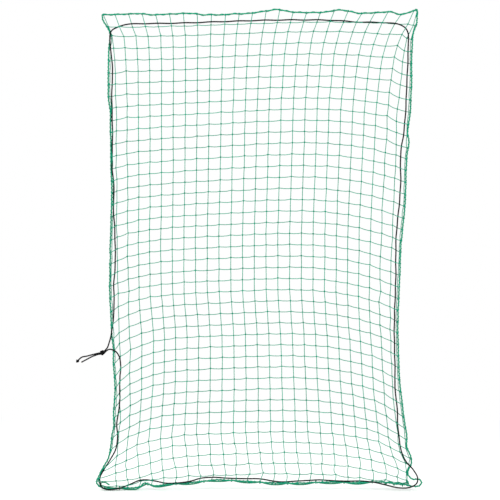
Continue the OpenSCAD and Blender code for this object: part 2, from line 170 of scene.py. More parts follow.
# ------------------------------------------------------------------ meshes
class Mesh:
    """Gathers tubes, and makes one Blender mesh of them."""

    def __init__(self):
        self.v, self.f, self.uv, self.tone, self.n = [], [], [], [], 0
        self.caps = []

    def add(self, rings, along, tone, cap=True):
        """rings: (m, s, 3) in mm; along: (m,) distance in mm."""
        m, s, _ = rings.shape
        k, q = np.meshgrid(np.arange(m - 1), np.arange(s), indexing="ij")
        w = (q + 1) % s
        quads = np.stack([k * s + q, (k + 1) * s + q, (k + 1) * s + w, k * s + w], -1).reshape(-1, 4)
        u0, u1 = q / s, (q + 1) / s
        v0, v1 = along[k] * MM, along[k + 1] * MM
        uv = np.stack([np.stack([u0, v0], -1), np.stack([u0, v1], -1), np.stack([u1, v1], -1), np.stack([u1, v0], -1)], 2)
        self.f.append(quads + self.n)
        self.uv.append(uv.reshape(-1, 2))
        self.v.append(rings.reshape(-1, 3) * MM)
        self.tone.append(np.full(m * s, tone) if np.isscalar(tone) else np.repeat(tone, s))
        if cap:
            self.caps.append(([self.n + q for q in range(s)], along[0] * MM))
            self.caps.append(([self.n + (m - 1) * s + q for q in range(s - 1, -1, -1)], along[-1] * MM))
        self.n += m * s

    def build(self, name, material):
        v = np.concatenate(self.v)
        f = np.concatenate(self.f)
        mesh = bpy.data.meshes.new(name)
        nc = sum(len(c) for c, _ in self.caps)
        mesh.vertices.add(len(v))
        mesh.vertices.foreach_set("co", v.astype(np.float32).ravel())
        mesh.loops.add(len(f) * 4 + nc)
        loops = np.concatenate([f.ravel()] + [np.array(c) for c, _ in self.caps])
        mesh.loops.foreach_set("vertex_index", loops.astype(np.int32))
        mesh.polygons.add(len(f) + len(self.caps))
        starts = list(range(0, len(f) * 4, 4))
        at = len(f) * 4
        for c, _ in self.caps:
            starts.append(at)
            at += len(c)
        mesh.polygons.foreach_set("loop_start", np.array(starts, np.int32))
        uv = mesh.uv_layers.new(name="tube_uv")
        cap_uv = [np.array([[.5, a]] * len(c)) for c, a in self.caps]
        uv.data.foreach_set("uv", np.concatenate(self.uv + cap_uv).astype(np.float32).ravel())
        tone = mesh.attributes.new("tone", "FLOAT", "POINT")
        tone.data.foreach_set("value", np.concatenate(self.tone).astype(np.float32))
        mesh.update(calc_edges=True)
        mesh.validate()
        smooth_flags = np.ones(len(mesh.polygons), bool)
        mesh.polygons.foreach_set("use_smooth", smooth_flags)
        mesh.materials.append(material)
        o = bpy.data.objects.new(name, mesh)
        bpy.context.scene.collection.objects.link(o)
        return o


def tube_rings(p, radius, sides, lobes=0, depth=0.0, pitch=12.0, phase=0.0, along=None, fr=None):
    """Rings of a tube round path p (mm). With lobes, the section is that of laid strands, turning once in lobes*pitch."""
    n, b = fr if fr is not None else frames(p)
    a = np.arange(sides) * 2 * math.pi / sides
    r = radius * np.ones((len(p), sides)) if np.isscalar(radius) else radius[:, None] * np.ones((1, sides))
    turn = np.zeros(len(p))
    if lobes:
        turn = 2 * math.pi * along / (lobes * pitch) + phase
        r = r * (1 + depth * np.cos(lobes * a)[None])
    ang = a[None] + turn[:, None]
    return p[:, None] + r[..., None] * (np.cos(ang)[..., None] * n[:, None] + np.sin(ang)[..., None] * b[:, None])


def arc(p):
    return np.concatenate([[0], np.cumsum(np.linalg.norm(np.diff(p, axis=0), axis=1))])


def zone_of(z):
    return 0 if z > CUT_AB else 1 if z > CUT_BC else 2


def split(z):
    """Ranges [k0, k1] of ring numbers that lie in one zone, sharing their end rings."""
    zones = np.array([zone_of(x) for x in z])
    out, k0 = [], 0
    for k in range(1, len(zones)):
        if zones[k] != zones[k - 1]:
            if k - k0 >= 1:
                out.append((k0, k, zones[k - 1]))
            k0 = k
    if len(zones) - 1 > k0:
        out.append((k0, len(zones) - 1, zones[k0]))
    return out


# ------------------------------------------------------------------ the knots' places
left_d = smooth(LEFT, 4.0)
right_d = smooth(RIGHT, 4.0)
top_d = smooth(TOP, 4.0)
bottom_d = smooth(BOTTOM, 4.0)


def x_on(route, z):
    zz = np.minimum.accumulate(route[:, 1])
    return np.interp(-z, -zz, route[:, 0])


left_mono = left_d[: int(np.argmin(np.abs(left_d[:, 1] + 1990))) + 1]
right_cut = int(np.argmin(np.hypot(right_d[:, 0] - 622, right_d[:, 1] + 1936)))
right_mono = right_d[3: right_cut + 1]


def ztop(x):
    return np.interp(x, top_d[:, 0], top_d[:, 1])


def zbot(x):
    return np.interp(x, bottom_d[:, 0], bottom_d[:, 1])


def zw(x, t):
    return np.maximum(zrow(x, t), zbot(x) + 9)


# the last rows at the lower left, by column from the border: how far the slack lets each knot up or down
LOW_LEFT = {38: (-9, -7, -6, -8, -7, -8, -4), 39: (37, -3, -12, -8, -9, -3, 0), 40: (30, 4, -9, -16, -13, -8, -4), 41: (22, 3, -15, -22, -17, -7, -3)}
K = np.zeros((COLS + 1, ROWS + 1, 3))
for j in range(ROWS + 1):
    for i in range(1, COLS):
        x = float(xcol(i, j))
        z = float(zw(x, j))
        if j == 0:
            z = float(ztop(x))
        if j == ROWS:
            z = float(zbot(x))
        slack = 0.5 + 1.2 * max(0, (j - 36) / 6) ** 1.5 + (1.1 if i in (1, 2, COLS - 2, COLS - 1) else 0)
        if 0 < j < ROWS:
            # neighbouring knots are pulled a little up and down in turn, and a little at random
            x += rng.normal(0, .9 * slack)
            z += rng.normal(0, .8 * slack) + (1.1 if (i + j) % 2 else -1.1)
        if 0 < j < ROWS:
            x = min(max(x, float(x_on(left_mono, z)) + 7), float(x_on(right_mono, z)) - 7)
            if i >= COLS - 2 and 2 <= j <= 12:
                # at the upper right the last twine hangs lower than the one beside it
                g = min(1, j / 2, (13 - j) / 4)
                z += (6 if j < 7 else 1) * g if i == COLS - 2 else -9 * g
                x -= 0 if i == COLS - 2 else (13 if j < 4 else 7) * g
            if i == 1 and 4 <= j <= 22:
                z -= 3
            if i < 4 and 24 < j < 36:
                g = min(1, (j - 24) / 3, (36 - j) / 5)
                z -= (0, 19, 11, 5)[i] * g
                x -= (0, 11, 10, 4)[i] * g
            if j in LOW_LEFT and i < 7:
                z += LOW_LEFT[j][i]
            if j > 38:
                x += 2.2 * (j - 38)
        K[i, j] = (x, float(ybil(z)) + rng.normal(0, .5), z)
    if 0 < j < ROWS:
        for i, route, x in ((0, left_mono, -620.0), (COLS, right_mono, 610.0)):
            for _ in range(8):
                x = float(x_on(route, float(zw(x, j))))
            z = float(zw(x, j))
            if i and 2 <= j <= 12:
                z -= 10 * min(1, j / 2, (13 - j) / 4)
                x = float(x_on(route, z))
            if not i and 4 <= j <= 22:
                z -= 6
                x = float(x_on(route, z))
            if not i and 24 < j < 36:
                z -= 27 * min(1, (j - 24) / 3, (36 - j) / 5)
                x = float(x_on(route, z))
            if not i and j in LOW_LEFT:
                z += LOW_LEFT[j][0]
                x = float(x_on(route, z))
            K[i, j] = (x, float(ybil(z)), z)

# slow waves of the slack columns near the bottom
for j in range(36, ROWS):
    g = ((j - 35) / 8) ** 1.2
    for i in range(1, COLS):
        K[i, j, 0] += g * (3.0 * math.sin(i * 1.9 + j * .8) + 2.0 * math.sin(i * .7 - j * 1.1))
        K[i, j, 1] += g * 3.0 * math.sin(i * 1.1 + j * .6)


def strand_path(knots, bow, step=5.2):
    """A path through the knots, bowed a little between each two by bow(k) in x, y and z."""
    pts = []
    for k in range(len(knots) - 1):
        a, b = knots[k], knots[k + 1]
        o = np.array(bow(k))
        d = (b - a)
        pts += [a, a + d * .3 + o * .8, a + d * .7 + o * .9]
    pts.append(knots[-1])
    return smooth(pts, step)


warps, wefts = [], []
for i in range(1, COLS):
    def bow(k, i=i):
        s = .25 + 2.8 * max(0.0, (k - 33) / 10) ** 1.3
        return (rng.normal(0, s), rng.normal(0, .4 + .6 * s), 0)
    warps.append(strand_path(K[i], bow))
for j in range(1, ROWS):
    def bow(k, j=j):
        s = .3 + .6 * max(0.0, (j - 34) / 9)
        return (0, rng.normal(0, .5), -.9 - abs(rng.normal(0, .5)) - s)
    wefts.append(strand_path(K[:, j], bow))


# ------------------------------------------------------------------ materials
def material(name):
    m = bpy.data.materials.new(name)
    m.use_nodes = True
    nt = m.node_tree
    for x in list(nt.nodes):
        nt.nodes.remove(x)
    out = nt.nodes.new("ShaderNodeOutputMaterial")
    bsdf = nt.nodes.new("ShaderNodeBsdfPrincipled")
    nt.links.new(bsdf.outputs[0], out.inputs[0])
    return m, nt, bsdf


def node(nt, kind, **inputs):
    n = nt.nodes.new(kind)
    for k, v in inputs.items():
        if k.startswith("_"):
            setattr(n, k[1:], v)
        else:
            n.inputs[k.replace("__", " ")].default_value = v
    return n


def math_node(nt, op, a, b=None, c=None):
    n = nt.nodes.new("ShaderNodeMath")
    n.operation = op
    for k, x in enumerate((a, b, c)):
        if x is None:
            continue
        if isinstance(x, (int, float)):
            n.inputs[k].default_value = x
        else:
            nt.links.new(x, n.inputs[k])
    return n.outputs[0]


def laid_material(name, dark, mid, light, strands, pitch, bump):
    """Laid twine or rope of polypropylene: diagonal strands, fine fibres, and patches of lighter and darker colour,
    with painted shade darkening the grooves between the strands.
    """
    m, nt, bsdf = material(name)
    uv = node(nt, "ShaderNodeUVMap", _uv_map="tube_uv")
    sep = nt.nodes.new("ShaderNodeSeparateXYZ")
    nt.links.new(uv.outputs[0], sep.inputs[0])
    u, v = sep.outputs[0], sep.outputs[1]
    # across the strands
    ph = math_node(nt, "ADD", math_node(nt, "MULTIPLY", u, float(strands)), math_node(nt, "MULTIPLY", v, 1000.0 / pitch))
    tri = math_node(nt, "PINGPONG", ph, .5)
    groove = math_node(nt, "MULTIPLY", tri, 2.0)
    # fibres run nearly along the strands
    comb = nt.nodes.new("ShaderNodeCombineXYZ")
    nt.links.new(math_node(nt, "MULTIPLY", ph, 9.0), comb.inputs[0])
    nt.links.new(math_node(nt, "MULTIPLY", v, 45.0), comb.inputs[1])
    fib = node(nt, "ShaderNodeTexNoise", Scale=1.0, Detail=3.0, Roughness=.6)
    nt.links.new(comb.outputs[0], fib.inputs["Vector"])
    obj = nt.nodes.new("ShaderNodeTexCoord")
    patch = node(nt, "ShaderNodeTexNoise", Scale=34.0, Detail=4.0, Roughness=.6)
    nt.links.new(obj.outputs["Object"], patch.inputs["Vector"])
    att = nt.nodes.new("ShaderNodeAttribute")
    att.attribute_name = "tone"
    ramp = nt.nodes.new("ShaderNodeValToRGB")
    ramp.color_ramp.elements[0].position = .22
    ramp.color_ramp.elements[0].color = (*dark, 1)
    ramp.color_ramp.elements[1].position = .82
    ramp.color_ramp.elements[1].color = (*light, 1)
    e = ramp.color_ramp.elements.new(.5)
    e.color = (*mid, 1)
    s = math_node(nt, "ADD", math_node(nt, "MULTIPLY", patch.outputs[0], .42), math_node(nt, "MULTIPLY", fib.outputs[0], .3))
    # painted shade: the groove term makes the colour darker between the strands and lighter on their crowns
    s = math_node(nt, "ADD", s, math_node(nt, "MULTIPLY", groove, .18))
    s = math_node(nt, "ADD", s, math_node(nt, "MULTIPLY", math_node(nt, "SUBTRACT", att.outputs["Fac"], .5), .35))
    nt.links.new(s, ramp.inputs[0])
    nt.links.new(ramp.outputs[0], bsdf.inputs["Base Color"])
    bsdf.inputs["Roughness"].default_value = .5
    bsdf.inputs["Specular IOR Level"].default_value = .15
    h = math_node(nt, "ADD", groove, math_node(nt, "MULTIPLY", fib.outputs[0], .5))
    bm = node(nt, "ShaderNodeBump", Strength=.6, Distance=bump)
    nt.links.new(h, bm.inputs["Height"])
    nt.links.new(bm.outputs[0], bsdf.inputs["Normal"])
    return m


def braid_material(name):
    """Black braided sheath: two families of yarns that cross, with a faint sheen, a few fleck yarns worn lighter, and
    painted shade darkening the hollows between the crossing yarns.
    """
    m, nt, bsdf = material(name)
    uv = node(nt, "ShaderNodeUVMap", _uv_map="tube_uv")
    sep = nt.nodes.new("ShaderNodeSeparateXYZ")
    nt.links.new(uv.outputs[0], sep.inputs[0])
    u, v = sep.outputs[0], sep.outputs[1]
    a = math_node(nt, "ADD", math_node(nt, "MULTIPLY", u, 8.0), math_node(nt, "MULTIPLY", v, 420.0))
    b = math_node(nt, "SUBTRACT", math_node(nt, "MULTIPLY", u, 8.0), math_node(nt, "MULTIPLY", v, 420.0))
    pa = math_node(nt, "PINGPONG", a, .5)
    pb = math_node(nt, "PINGPONG", b, .5)
    weave = math_node(nt, "MULTIPLY", math_node(nt, "ADD", pa, pb), 1.0)
    obj = nt.nodes.new("ShaderNodeTexCoord")
    noise = node(nt, "ShaderNodeTexNoise", Scale=90.0, Detail=4.0, Roughness=.65)
    nt.links.new(obj.outputs["Object"], noise.inputs["Vector"])
    ramp = nt.nodes.new("ShaderNodeValToRGB")
    ramp.color_ramp.elements[0].position = .25
    ramp.color_ramp.elements[0].color = (.0008, .0008, .0010, 1)
    ramp.color_ramp.elements[1].position = .95
    ramp.color_ramp.elements[1].color = (.009, .009, .0105, 1)
    # painted shade: the weave term darkens the colour in the hollows between the yarns and lightens their crowns
    s = math_node(nt, "ADD", math_node(nt, "MULTIPLY", weave, .6), math_node(nt, "MULTIPLY", noise.outputs[0], .4))
    nt.links.new(s, ramp.inputs[0])
    nt.links.new(ramp.outputs[0], bsdf.inputs["Base Color"])
    bsdf.inputs["Roughness"].default_value = .72
    bsdf.inputs["Specular IOR Level"].default_value = .10
    h = math_node(nt, "ADD", weave, math_node(nt, "MULTIPLY", noise.outputs[0], .25))
    bm = node(nt, "ShaderNodeBump", Strength=.7, Distance=.0006)
    nt.links.new(h, bm.inputs["Height"])
    nt.links.new(bm.outputs[0], bsdf.inputs["Normal"])
    return m


def rubber_material(name):
    m, nt, bsdf = material(name)
    obj = nt.nodes.new("ShaderNodeTexCoord")
    noise = node(nt, "ShaderNodeTexNoise", Scale=400.0, Detail=3.0)
    nt.links.new(obj.outputs["Object"], noise.inputs["Vector"])
    ramp = nt.nodes.new("ShaderNodeValToRGB")
    ramp.color_ramp.elements[0].color = (.42, .36, .24, 1)
    ramp.color_ramp.elements[1].color = (.62, .56, .42, 1)
    nt.links.new(noise.outputs[0], ramp.inputs[0])
    nt.links.new(ramp.outputs[0], bsdf.inputs["Base Color"])
    bsdf.inputs["Roughness"].default_value = .7
    bm = node(nt, "ShaderNodeBump", Strength=.3, Distance=.0003)
    nt.links.new(noise.outputs[0], bm.inputs["Height"])
    nt.links.new(bm.outputs[0], bsdf.inputs["Normal"])
    return m


TWINE = laid_material("net_twine", (.002, .190, .112), (.004, .345, .205), (.014, .500, .335), 3, 12.0, .0006)
ROPE = laid_material("border_rope", (.0015, .170, .086), (.003, .315, .165), (.012, .470, .275), 3, 16.0, .0010)
BRAID = braid_material("elastic_sheath")
RUBBER = rubber_material("rubber_core")

# ------------------------------------------------------------------ camera
scene = bpy.context.scene
cam = bpy.data.cameras.new("camera")
cam.lens, cam.sensor_width = 85.0, 36.0
camera = bpy.data.objects.new("camera", cam)
scene.collection.objects.link(camera)
PX = 0.0042
dist = 500 * PX * cam.lens / cam.sensor_width
camera.location = (-10 * PX, -dist, -(250 - 13) * PX)
camera.rotation_euler = (math.pi / 2, 0, 0)
cam.clip_end = 100
scene.camera = camera

# ------------------------------------------------------------------ twines
pieces = {}
ZN = "ABC"
PANEL = ("upper", "middle", "lower")


def blend_zone(o):
    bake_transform(o)


def add_strand(store, p, radius, sides, lobes, depth, pitch, tone, step_split=True):
    al = arc(p)
    fr = frames(p)
    phase = rng.uniform(0, 6.28)
    rings = tube_rings(p, radius, sides, lobes, depth, pitch, phase, al, fr)
    for k0, k1, z in split(p[:, 2]):
        store[z].add(rings[k0:k1 + 1], al[k0:k1 + 1], tone)


warp_m = [Mesh() for _ in ZN]
weft_m = [Mesh() for _ in ZN]
for p in warps:
    add_strand(warp_m, p, TWINE_R, 6, 3, .16, 7.0, rng.uniform(.35, .65))
for p in wefts:
    add_strand(weft_m, p, TWINE_R, 6, 3, .16, 7.0, rng.uniform(.35, .65))
# the selvage: the outermost twine down each side, held close inside the border rope by its hitches
for i, way in ((0, 1), (COLS, -1)):
    edge = K[i, 1:ROWS] + np.array([way * 5.6, 1.5, 0])
    p = strand_path(edge, lambda k, way=way: (way * rng.uniform(-.3, 2.6), rng.normal(0, .5), 0))
    add_strand(warp_m, p, TWINE_R, 6, 3, .16, 7.0, rng.uniform(.35, .65))
for z in range(3):
    o = warp_m[z].build(f"warp_twines_{ZN[z]}", TWINE)
    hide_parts(f"{PANEL[z]}_warp_twines")
    blend_zone(o)
    o = weft_m[z].build(f"weft_twines_{ZN[z]}", TWINE)
    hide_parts(f"{PANEL[z]}_weft_twines")
    blend_zone(o)

# ------------------------------------------------------------------ the knots at the crossings
def trefoil(n, s, d):
    a = np.linspace(0, 2 * math.pi, n, endpoint=False)
    return np.stack([s * (np.sin(a) + 2 * np.sin(2 * a)), -d * np.sin(3 * a), s * (np.cos(a) - 2 * np.cos(2 * a))], 1)


def closed_rings(p, r, sides):
    """Rings of a closed tube; the last ring is the first one again."""
    t = np.roll(p, -1, 0) - np.roll(p, 1, 0)
    t /= np.linalg.norm(t, axis=1, keepdims=True)
    ref = p - p.mean(0) + np.array([0, 31.0, 0])
    e = np.cross(t, ref)
    e /= np.linalg.norm(e, axis=1, keepdims=True)
    f = np.cross(e, t)
    a = np.arange(sides) * 2 * math.pi / sides
    rings = p[:, None] + r * (np.cos(a)[None, :, None] * e[:, None] + np.sin(a)[None, :, None] * f[:, None])
    return np.concatenate([rings, rings[:1]])


knot_line = trefoil(18, .95, 1.5)
knot_rings = closed_rings(knot_line, 1.3, 5)
knot_al = np.linspace(0, 40, len(knot_rings))


def turned(r, a, tilt):
    c, s = math.cos(a), math.sin(a)
    ry = np.array([[c, 0, s], [0, 1, 0], [-s, 0, c]])
    c, s = math.cos(tilt), math.sin(tilt)
    rx = np.array([[1, 0, 0], [0, c, -s], [0, s, c]])
    return r @ (ry @ rx).T


knot_m = [Mesh() for _ in ZN]
for i in range(1, COLS):
    for j in range(1, ROWS):
        c = K[i, j]
        a = (math.pi / 2) * ((i + j) % 2) + rng.normal(0, .25)
        r = turned(knot_rings * rng.uniform(.92, 1.1), a, rng.normal(0, .2)) + c
        # painted shade: the knots take a lower tone (.1 to .45) than the twines (.35 to .65), so each crossing is
        # painted darker
        knot_m[zone_of(c[2])].add(r, knot_al, rng.uniform(.1, .45), cap=False)
for z in range(3):
    o = knot_m[z].build(f"mesh_knots_{ZN[z]}", TWINE)
    blend_zone(o)

# ------------------------------------------------------------------ border rope
def lift3(p2, y=0.0):
    return np.stack([p2[:, 0], ybil(p2[:, 1]) + y, p2[:, 1]], 1)


def rope_strands(store, p, al, tone):
    """Three strands laid round each other along p; store(k0, k1) says which mesh takes rings k0..k1."""
    n, b = frames(p)
    for s in range(3):
        ph = 2 * math.pi * (s / 3 + al / 24.0)
        c = p + 1.5 * (np.cos(ph)[:, None] * n + np.sin(ph)[:, None] * b)
        rr = tube_rings(c, 1.74, 8, along=al)
        for k0, k1, mesh in store:
            mesh.add(rr[k0:k1 + 1], al[k0:k1 + 1], tone[k0:k1 + 1] if not np.isscalar(tone) else tone)


STEP = 3.0
ear_l, ear_r = [(-661.6, -13), (-662, -8), (-656, -7.6)], [(651, 10.2), (656, 12), (659.6, 7.5)]
loop = np.concatenate([LEFT[::-1][:-1], ear_l, TOP[1:-1], ear_r, RIGHT[1:], BOTTOM[::-1][1:]])
loop_d = smooth(loop, STEP)
loop_p = lift3(loop_d)
# small unevenness of a rope that the twine pulls on at every mesh
al = arc(loop_p)
wob = np.interp(al, np.arange(0, al[-1] + 60, 24), rng.normal(0, .9, len(np.arange(0, al[-1] + 60, 24))))
wob2 = np.interp(al, np.arange(0, al[-1] + 60, 31), rng.normal(0, .8, len(np.arange(0, al[-1] + 60, 31))))
nn, bb = frames(loop_p)
loop_p = loop_p + wob[:, None] * nn + wob2[:, None] * bb
i_left = int(np.argmin(np.hypot(loop_p[:, 0] + 662, loop_p[:, 2] + 8)))
i_right = int(np.argmin(np.hypot(loop_p[:, 0] - 661, loop_p[:, 2] + 4)))
rope_m = {k: Mesh() for k in ("top", "A_left", "A_right", "B_left", "B_right", "C")}
ranges = []
zz = loop_p[:, 2]
side_l = [k for k in range(i_left) if zz[k] <= CUT_AB]
kB = next(k for k in range(len(zz)) if zz[k] > CUT_BC)
kA = next(k for k in range(len(zz)) if zz[k] > CUT_AB)
kA2 = next(k for k in range(i_right, len(zz)) if zz[k] < CUT_AB)
kB2 = next(k for k in range(i_right, len(zz)) if zz[k] < CUT_BC)
ranges = [(0, kB, rope_m["C"]), (kB, kA, rope_m["B_left"]), (kA, i_left, rope_m["A_left"]), (i_left, i_right, rope_m["top"]),
          (i_right, kA2, rope_m["A_right"]), (kA2, kB2, rope_m["B_right"]), (kB2, len(zz) - 1, rope_m["C"])]
rope_strands(ranges, loop_p, arc(loop_p), .5)


# the twine that laces the net to its border rope: a slow helix round the rope, tighter down the sides
def lacing(store, p, al, pitch, r=ROPE_R + .7, w=1.3):
    n, b = frames(p)
    ph = 2 * math.pi * np.cumsum(np.concatenate([[0], np.diff(al) / pitch(.5 * (p[1:] + p[:-1]))]))
    c = p + r * (np.cos(ph)[:, None] * n + np.sin(ph)[:, None] * b)
    rr = tube_rings(c, w, 5)
    for k0, k1, mesh in store:
        mesh.add(rr[k0:k1 + 1], al[k0:k1 + 1], .3)


def hitch(mesh, c, t, tone, turns=2.0, r=ROPE_R + .8, w=1.15, spread=5.4):
    """Turns of twine drawn tight round the rope at c, whose direction there is t."""
    t = t / np.linalg.norm(t)
    u = np.array([0, 1.0, 0]) - t * t[1]
    u /= np.linalg.norm(u)
    v = np.cross(t, u)
    n = int(turns * 9) + 1
    a = np.linspace(0, turns * 2 * math.pi, n) + rng.uniform(0, 6.28)
    p = c + r * (np.cos(a)[:, None] * u + np.sin(a)[:, None] * v) + (np.linspace(-.5, .5, n) * spread)[:, None] * t
    mesh.add(tube_rings(p, w, 5), arc(p), tone)


# the hitches: one wherever a twine meets the border
hitch_m = {k: Mesh() for k in ("top", "A", "B", "C")}
lace_store = [(k0, k1, {"C": hitch_m["C"], "B_left": hitch_m["B"], "B_right": hitch_m["B"], "A_left": hitch_m["A"], "A_right": hitch_m["A"],
                        "top": hitch_m["top"]}[next(k for k in rope_m if rope_m[k] is mesh)]) for k0, k1, mesh in ranges]
lacing(lace_store, loop_p, arc(loop_p), lambda q: np.where(q[:, 2] > -16, 55.0, 16.0))
tree_p = loop_p
tt = tangents(loop_p)


def near(p):
    d = np.linalg.norm(tree_p - p, axis=1)
    k = int(np.argmin(d))
    return tree_p[k], tt[k]


for i in range(1, COLS):
    c, t = near(K[i, 0])
    hitch(hitch_m["top"], c, t, rng.uniform(.3, .7))
    c, t = near(K[i, ROWS])
    hitch(hitch_m["C"], c, t, rng.uniform(.3, .7))
for j in range(1, ROWS):
    for i in (0, COLS):
        c, t = near(K[i, j])
        hitch(hitch_m[ZN[zone_of(c[2])]], c, t, rng.uniform(.3, .7))

# the knot that ends the border rope, at the upper right ear
c, t = near(np.array([657.0, float(ybil(11)), 11.0]))
hitch(rope_m["top"], c, t, .35, turns=2.3, r=3.6, w=2.3, spread=7.0)
hitch(rope_m["top"], c + np.array([0, -2.4, -1.0]), np.cross(t, (0, 1.0, 0)), .35, turns=1.2, r=3.4, w=2.0, spread=3.0)

# the slack of the border rope along the bottom, with a bight in the left corner and curls in the right one
BIGHT = 118.0
slack_pts = [(-634, -1984, 1.0), (-652, -1974, 3.2), (-668, -1976, 5.6), (-671, -1985, 7.2), (-655, -1992, 8.0), (-632, -1997, 7.4), (-610, -1999, 6.9)]
for x in np.arange(-590, 500, BIGHT / 5):
    slack_pts.append((x, float(zbot(x)) - 1 - 7 * abs(math.sin(math.pi * (x + 590) / BIGHT)), 6.7))
for k in range(26):
    a = 2 * math.pi * k / 8
    slack_pts.append((512 + 4.4 * k + 6.5 * math.sin(a), -1978 - .25 * k + 6.5 * math.cos(a), 7.6 + 3.1 * math.sin(a + 1.2)))
sp = smooth(slack_pts, 2.6)
sp = np.stack([sp[:, 0], ybil(sp[:, 1]) * .5 + ybil(zbot(sp[:, 0])) * .5 + sp[:, 2], sp[:, 1]], 1)
sp_m = Mesh()
rope_strands([(0, len(sp) - 1, sp_m)], sp, arc(sp), .5)
for x in np.arange(-590, 500, BIGHT):
    k = int(np.argmin(np.abs(sp[:, 0] - x) + 50 * (arc(sp) < 120)))
    c = sp[k] + np.array([0, -3.2, 1.0])
    hitch(sp_m, c, np.array([1.0, 0, 0]), .4, turns=2.2, r=6.6, w=1.0, spread=4.0)
o = sp_m.build("bottom_slack_rope_laid", ROPE)
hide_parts("bottom_slack_rope")
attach(o, "lower_net")

o = rope_m["top"].build("top_border_rope_laid", ROPE)
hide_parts("top_border_rope")
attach(o, "top_edge")
for side in ("left", "right"):
    o = rope_m[f"A_{side}"].build(f"{side}_border_A", ROPE)
    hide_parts(f"upper_{side}_border")
    blend_zone(o)
    o = rope_m[f"B_{side}"].build(f"{side}_border_B", ROPE)
    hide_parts(f"middle_{side}_border")
    blend_zone(o)
o = rope_m["C"].build("lower_border", ROPE)
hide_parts("lower_left_border", "lower_right_border", "bottom_border")
blend_zone(o)
o = hitch_m["top"].build("top_hitches", TWINE)
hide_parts("top_twine_hitches")
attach(o, "top_edge")
for z in range(3):
    o = hitch_m[ZN[z]].build(f"border_hitches_{ZN[z]}", TWINE)
    blend_zone(o)

# ------------------------------------------------------------------ elastic cord, woven through the meshes
el = smooth(ELASTIC_A, 2.2)
el_al = arc(el)


def crossings(path2, other2):
    """Distances along path2 at which it crosses other2 (both in the net's plane)."""
    a, b = path2[:-1], path2[1:]
    found = []
    for c, d in zip(other2[:-1], other2[1:]):
        lo, hi = np.minimum(c, d) - 3, np.maximum(c, d) + 3
        m = np.nonzero((np.maximum(a[:, 0], b[:, 0]) > lo[0]) & (np.minimum(a[:, 0], b[:, 0]) < hi[0])
                       & (np.maximum(a[:, 1], b[:, 1]) > lo[1]) & (np.minimum(a[:, 1], b[:, 1]) < hi[1]))[0]
        for k in m:
            r, s = b[k] - a[k], d - c
            den = r[0] * s[1] - r[1] * s[0]
            if abs(den) < 1e-9:
                continue
            q = c - a[k]
            t = (q[0] * s[1] - q[1] * s[0]) / den
            w = (q[0] * r[1] - q[1] * r[0]) / den
            if 0 <= t < 1 and 0 <= w < 1:
                found.append(el_al[k] + t * np.linalg.norm(r))
    return found


marks = []
for p in warps + wefts:
    marks += [(s, "twine") for s in crossings(el, p[::3, [0, 2]])]
marks += [(s, "rope") for s in crossings(el, loop_p[::4, [0, 2]])]
marks.sort()
stations, sign, last = [(0.0, EL_Y)], 1, -1e9
for s, what in marks:
    if what == "rope":
        sign = -1
        y = EL_Y - .3
    else:
        if s - last > 16:
            sign = -sign
        y = 4.9 * sign
    if s - stations[-1][0] < 6:
        y = min(y, stations[-1][1]) if stations[-1][1] < 0 or y < 0 else y
        stations[-1] = (stations[-1][0], y)
    else:
        stations.append((s, y))
    last = s
stations.append((el_al[-1], EL_Y))
ss = np.array([s for s, _ in stations])
sy = np.array([y for _, y in stations])
idx = np.clip(np.searchsorted(ss, el_al) - 1, 0, len(ss) - 2)
f = np.clip((el_al - ss[idx]) / np.maximum(ss[idx + 1] - ss[idx], 1e-6), 0, 1)
f = .5 - .5 * np.cos(math.pi * f)
el_y = sy[idx] * (1 - f) + sy[idx + 1] * f
el_p = lift3(el)
el_p[:, 1] += el_y


def braid_rings(p, al, r=CORD_R, sides=16):
    """A braided sheath: the surface rises and falls where its yarns cross."""
    n, b = frames(p)
    a = np.arange(sides) * 2 * math.pi / sides
    w = .13 * np.cos(8 * a[None] + 2 * math.pi * al[:, None] / 5.2) * np.cos(8 * a[None] - 2 * math.pi * al[:, None] / 5.2 + 1.5)
    rr = r - .08 + w
    return p[:, None] + rr[..., None] * (np.cos(a)[None, :, None] * n[:, None] + np.sin(a)[None, :, None] * b[:, None])


el_rings = braid_rings(el_p, el_al)
ez = el_p[:, 2]
j_up = next(k for k in range(len(ez)) if ez[k] > -1302)          # leaves the exit strand
j_B = next(k for k in range(len(ez)) if ez[k] > CUT_BC)
j_A = next(k for k in range(len(ez)) if ez[k] > CUT_AB)
top_k = int(np.argmin(np.abs(el_p[:, 0] - 0) + 1e3 * (ez < -100)))
j_A2 = next(k for k in range(top_k, len(ez)) if ez[k] < CUT_AB)
j_B2 = next(k for k in range(top_k, len(ez)) if ez[k] < CUT_BC)
j_low = next(k for k in range(len(ez) - 1, 0, -1) if ez[k] < -1500)  # begins the lower exit strand
el_m = {k: Mesh() for k in ("exit_up", "C_left", "B_left", "A", "B_right", "C", "exit_low")}
for k0, k1, key in ((0, j_up, "exit_up"), (j_up, j_B, "C_left"), (j_B, j_A, "B_left"), (j_A, j_A2, "A"), (j_A2, j_B2, "B_right"), (j_B2, j_low, "C"), (j_low, len(ez) - 1, "exit_low")):
    el_m[key].add(el_rings[k0:k1 + 1], el_al[k0:k1 + 1], .5)
o = el_m["A"].build("elastic_A", BRAID)
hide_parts("upper_elastic_sheath", "upper_elastic_core")
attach(o, "upper_net")
for side in ("left", "right"):
    o = el_m[f"B_{side}"].build(f"elastic_B_{side}", BRAID)
    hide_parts(f"middle_{side}_elastic_sheath", f"middle_{side}_elastic_core")
    blend_zone(o)
o = el_m["C_left"].build("elastic_C_left", BRAID)
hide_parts("lower_left_elastic_sheath", "lower_left_elastic_core")
blend_zone(o)
o = el_m["C"].build("elastic_C", BRAID)
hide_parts("lower_elastic_sheath", "lower_elastic_core")
blend_zone(o)
for key, a, b in (("exit_up", (-.6185, 0, -1.304), (-.650, 0, -1.417)), ("exit_low", (-.600, 0, -1.43), (-.648, 0, -1.43))):
    o = el_m[key].build(f"elastic_{key}", BRAID)
    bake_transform(o)

